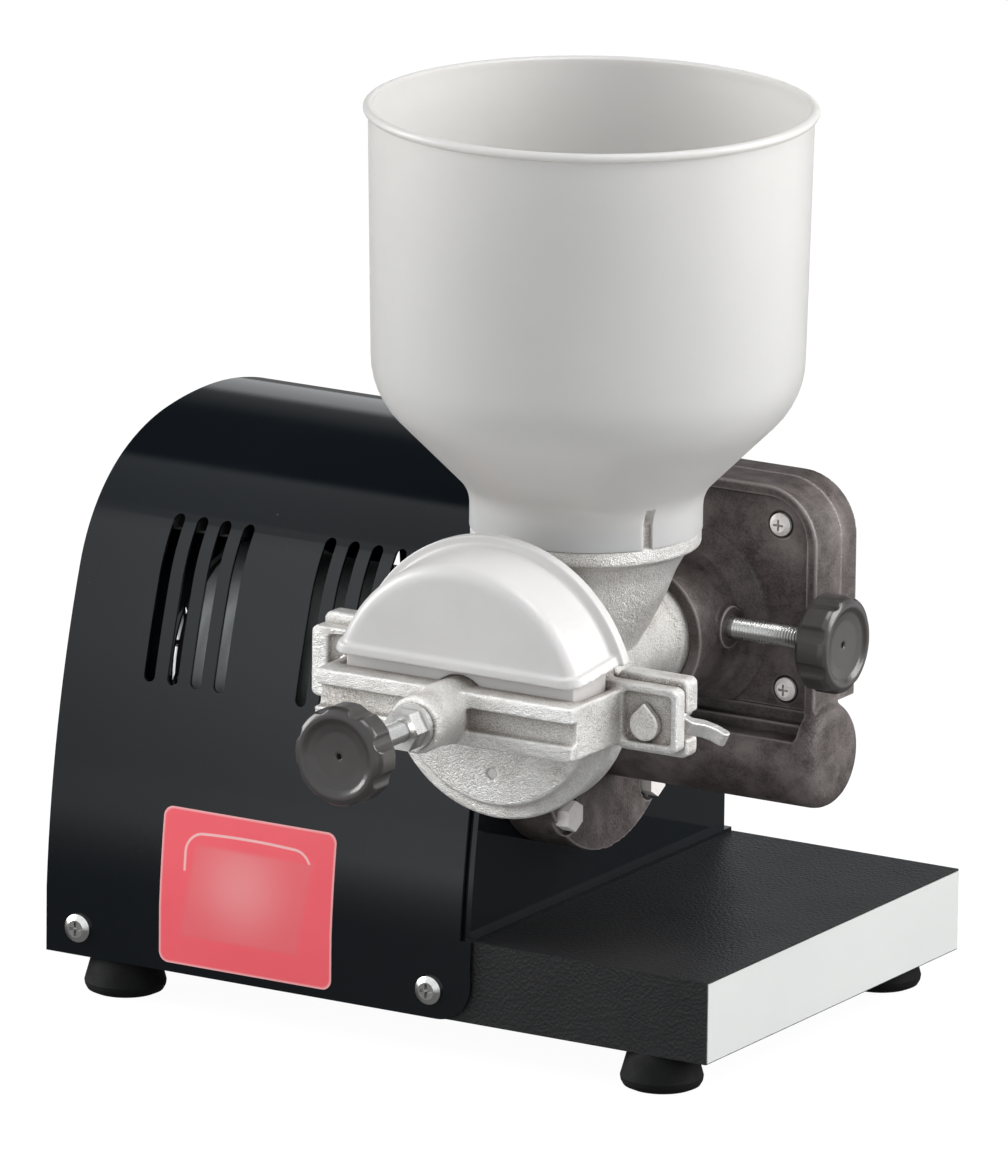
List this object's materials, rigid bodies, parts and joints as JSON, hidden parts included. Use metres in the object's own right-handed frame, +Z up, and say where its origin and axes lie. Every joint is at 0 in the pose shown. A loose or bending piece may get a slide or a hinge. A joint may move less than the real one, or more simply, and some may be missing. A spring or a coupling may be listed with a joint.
{
  "type": "electric grain mill",
  "caption": "Bench-top electric grain mill: arched motor cover on a flat base, worm gearbox, cast screw-fed grinding head, open hopper and hand knobs.",
  "frame": {"origin": "on the floor, under the middle of the base's length and width", "axes": "+Z up, -Y towards the grinding head and its adjusting knob, +X towards the gearbox end of the base"},
  "size_m": [0.4109, 0.4762, 0.4685],
  "materials": {
    "black_cover": "gloss enamel",
    "black_base": "fine orange-peel enamel",
    "pale_strip": "satin",
    "foot_rubber": "matte",
    "zinc_steel": "bright zinc",
    "coral_label": "satin film",
    "guard_wire": "bright",
    "black_plastic": "semi-gloss",
    "core_steel": "varnished laminations",
    "copper_coil": "varnished wire",
    "bell_alloy": "cast",
    "bearing_steel": "ground",
    "capacitor_case": "matte",
    "shaft_steel": "turned",
    "brown_casting": "mottled satin",
    "seal_rubber": "matte",
    "wheel_bronze": "machined",
    "tinned_casting": "bright tinned",
    "disc_iron": "ground",
    "knob_plastic": "semi-gloss",
    "guard_plastic": "gloss",
    "hopper_plastic": "milky satin",
    "wing_zinc": "bright zinc"
  },
  "bodies": {
    "chassis": {"base_tray": "black_base", "end_strip": "pale_strip", "rubber_feet": "foot_rubber", "foot_screws": "zinc_steel", "motor_cover": "black_cover", "cover_screws": "zinc_steel", "front_sticker": "coral_label", "gearbox_end_plate": "black_cover", "left_end_panel": "black_cover", "fan_shroud": "black_cover", "fan_guard": "guard_wire", "fan_guard_screws": "zinc_steel", "switch_housing": "black_plastic", "cord_inlet": "black_plastic", "stator_core": "core_steel", "stator_winding": "copper_coil", "front_end_bell": "bell_alloy", "rear_end_bell": "bell_alloy", "motor_tie_bolts": "zinc_steel", "front_motor_bearing": "bearing_steel", "rear_motor_bearing": "bearing_steel", "run_capacitor": "capacitor_case", "capacitor_clip": "zinc_steel", "gearbox_housing": "brown_casting", "gearbox_back_cover": "brown_casting", "gearbox_front_cover": "brown_casting", "gearbox_cover_screws": "zinc_steel", "flange_bolts": "zinc_steel", "worm_end_bearing": "bearing_steel", "wheel_bearings": "bearing_steel", "output_seal": "seal_rubber"},
    "rocker": {"rocker_switch": "black_plastic"},
    "rotor": {"rotor_core": "core_steel", "worm_shaft": "shaft_steel", "cooling_fan": "black_plastic"},
    "wheel": {"worm_wheel": "wheel_bronze", "output_shaft": "shaft_steel"},
    "lock_rod": {"lock_screw": "zinc_steel"},
    "lock_grip": {"lock_knob": "knob_plastic"},
    "mill_head": {"mill_body": "tinned_casting", "barrel_bush": "wheel_bronze", "yoke": "tinned_casting", "fixed_disc": "disc_iron", "disc_screws": "zinc_steel", "clamp_bolts": "wing_zinc"},
    "auger": {"auger_shaft": "tinned_casting", "rotating_disc": "disc_iron", "thrust_ball": "bearing_steel"},
    "adjusting_rod": {"adjusting_screw": "zinc_steel"},
    "adjusting_grip": {"adjusting_knob": "knob_plastic"},
    "jam_nut": {"lock_nut": "zinc_steel"},
    "left_clamp_washer": {"left_washer": "zinc_steel"},
    "left_clamp_nut": {"left_wing_nut": "wing_zinc"},
    "right_clamp_washer": {"right_washer": "zinc_steel"},
    "right_clamp_nut": {"right_wing_nut": "wing_zinc"},
    "guard": {"flour_guard": "guard_plastic"},
    "feed_hopper": {"hopper": "hopper_plastic"}
  },
  "joints": [
    {"name": "rocker_press", "type": "hinge", "parent": "chassis", "child": "rocker", "pos_m": [-0.1755, 0.068, 0.136], "axis": [0, 1, 0], "range_deg": [0, 18]},
    {"name": "wheel_turn", "type": "hinge", "parent": "chassis", "child": "wheel", "pos_m": [0.122, -0.039, 0.2095], "axis": [0, 1, 0], "continuous": true},
    {"name": "rotor_spin", "type": "hinge", "parent": "chassis", "child": "rotor", "pos_m": [0, -0.039, 0.1515], "axis": [1, 0, 0], "continuous": true},
    {"name": "lock_screw_travel", "type": "slide", "parent": "chassis", "child": "lock_rod", "axis": [1, 0, 0], "range_m": [0, 0.006]},
    {"name": "lock_knob_turn", "type": "hinge", "parent": "lock_rod", "child": "lock_grip", "pos_m": [0.21, -0.064, 0.2125], "axis": [1, 0, 0], "range_deg": [0, 1440]},
    {"name": "head_pull", "type": "slide", "parent": "chassis", "child": "mill_head", "axis": [0, -1, 0], "range_m": [0, 0.045]},
    {"name": "auger_turn", "type": "hinge", "parent": "mill_head", "child": "auger", "pos_m": [0.122, -0.2, 0.2095], "axis": [0, 1, 0], "continuous": true},
    {"name": "adjusting_travel", "type": "slide", "parent": "mill_head", "child": "adjusting_rod", "axis": [0, -1, 0], "range_m": [0, 0.0045]},
    {"name": "adjusting_knob_turn", "type": "hinge", "parent": "adjusting_rod", "child": "adjusting_grip", "pos_m": [0.122, -0.34, 0.2095], "axis": [0, -1, 0], "range_deg": [0, 1080]},
    {"name": "jam_nut_turn", "type": "hinge", "parent": "adjusting_rod", "child": "jam_nut", "pos_m": [0.122, -0.292, 0.2095], "axis": [0, -1, 0], "range_deg": [0, 60]},
    {"name": "left_washer_travel", "type": "slide", "parent": "mill_head", "child": "left_clamp_washer", "axis": [0, 1, 0], "range_m": [0, 0.0075]},
    {"name": "left_wing_turn", "type": "hinge", "parent": "left_clamp_washer", "child": "left_clamp_nut", "pos_m": [0.0425, -0.193, 0.206], "axis": [0, 1, 0], "range_deg": [0, 2160]},
    {"name": "right_washer_travel", "type": "slide", "parent": "mill_head", "child": "right_clamp_washer", "axis": [0, 1, 0], "range_m": [0, 0.0075]},
    {"name": "right_wing_turn", "type": "hinge", "parent": "right_clamp_washer", "child": "right_clamp_nut", "pos_m": [0.2015, -0.193, 0.206], "axis": [0, 1, 0], "range_deg": [0, 2160]},
    {"name": "guard_lift", "type": "slide", "parent": "mill_head", "child": "guard", "axis": [0, 0, 1], "range_m": [0, 0.025]},
    {"name": "hopper_lift", "type": "slide", "parent": "mill_head", "child": "feed_hopper", "axis": [0, 0, 1], "range_m": [0, 0.08]}
  ],
  "couplings": [
    {"joint": "rotor_spin", "follows": "wheel_turn", "ratio": 19},
    {"joint": "auger_turn", "follows": "wheel_turn", "ratio": 1},
    {"joint": "lock_knob_turn", "follows": "lock_screw_travel", "rad_per_m": 4188.8},
    {"joint": "adjusting_knob_turn", "follows": "adjusting_travel", "rad_per_m": 4188.8},
    {"joint": "left_wing_turn", "follows": "left_washer_travel", "rad_per_m": 5026.5},
    {"joint": "right_wing_turn", "follows": "right_washer_travel", "rad_per_m": 5026.5}
  ]
}
